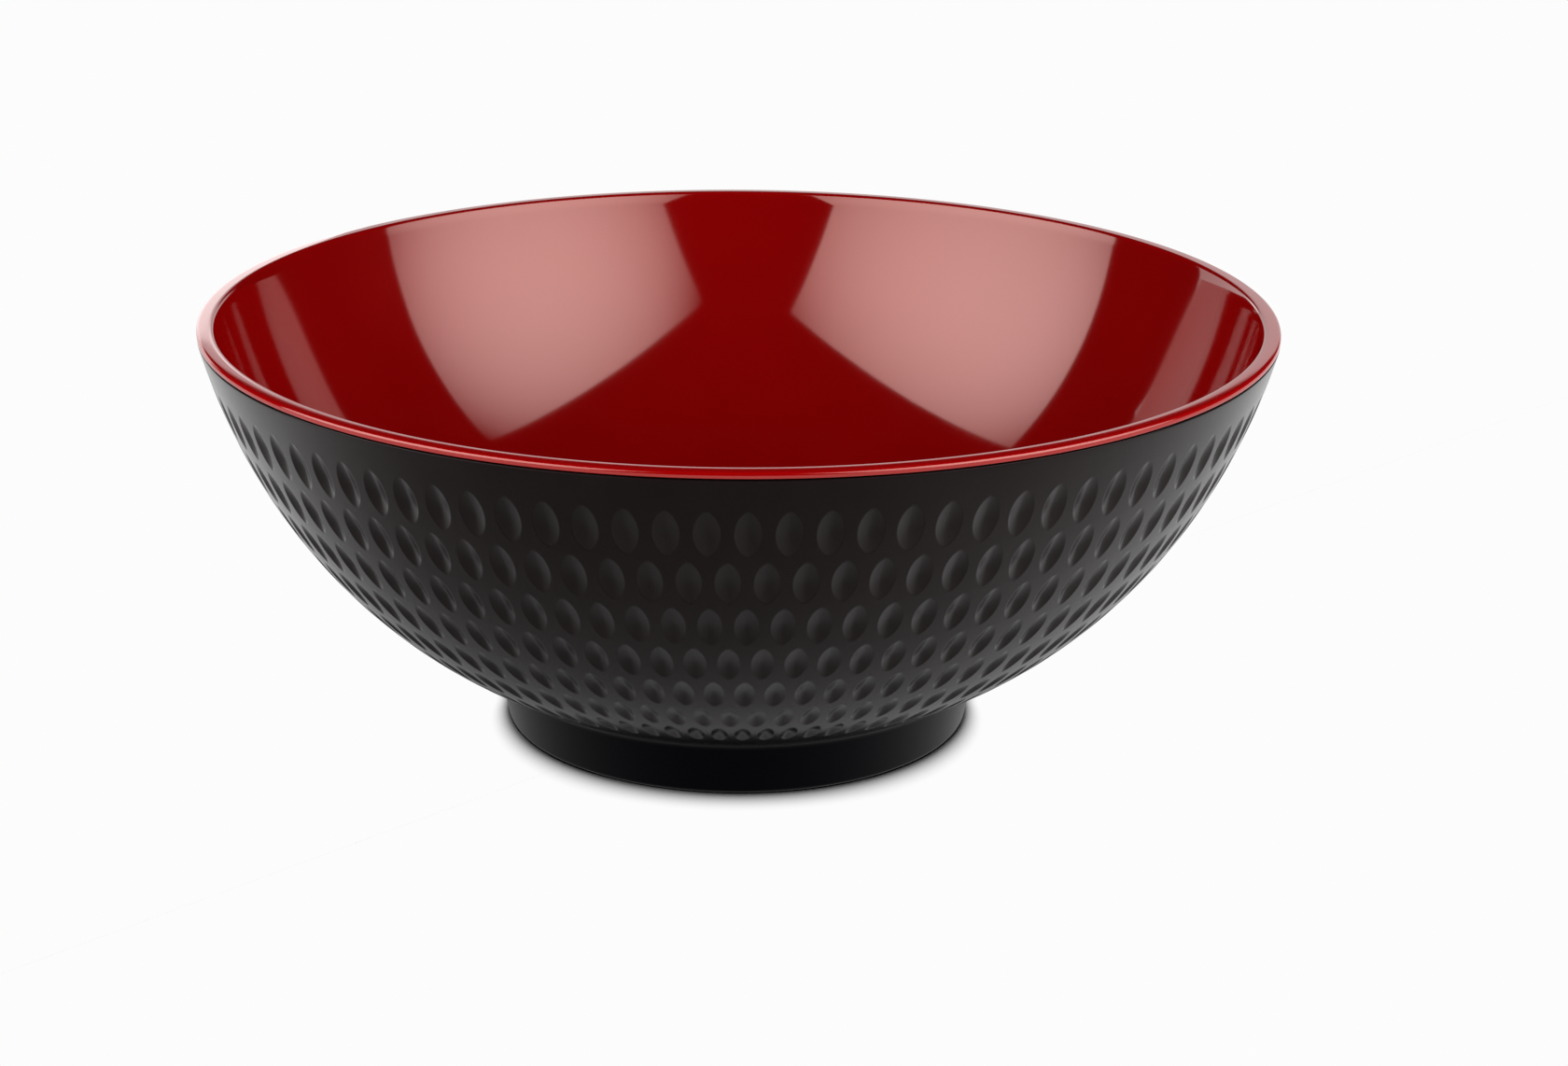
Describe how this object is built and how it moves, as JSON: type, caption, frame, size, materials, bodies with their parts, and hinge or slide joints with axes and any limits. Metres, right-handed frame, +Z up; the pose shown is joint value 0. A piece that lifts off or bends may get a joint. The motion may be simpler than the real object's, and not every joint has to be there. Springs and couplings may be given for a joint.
{
  "type": "melamine serving bowl",
  "caption": "Round two-tone serving bowl: matte black outside with rows of oval dimples, glossy red liner with a rounded lip, standing on a foot ring.",
  "frame": {"origin": "middle of the foot's resting plane", "axes": "+Z up along the bowl's axis, -Y towards the viewer of the picture"},
  "size_m": [0.24, 0.24, 0.095],
  "materials": {
    "black_melamine": "matte, fine even grain, smooth satin on the foot",
    "red_melamine": "high gloss glaze"
  },
  "bodies": {
    "root": {"outer_shell": "black_melamine", "inner_liner": "red_melamine"}
  },
  "joints": []
}
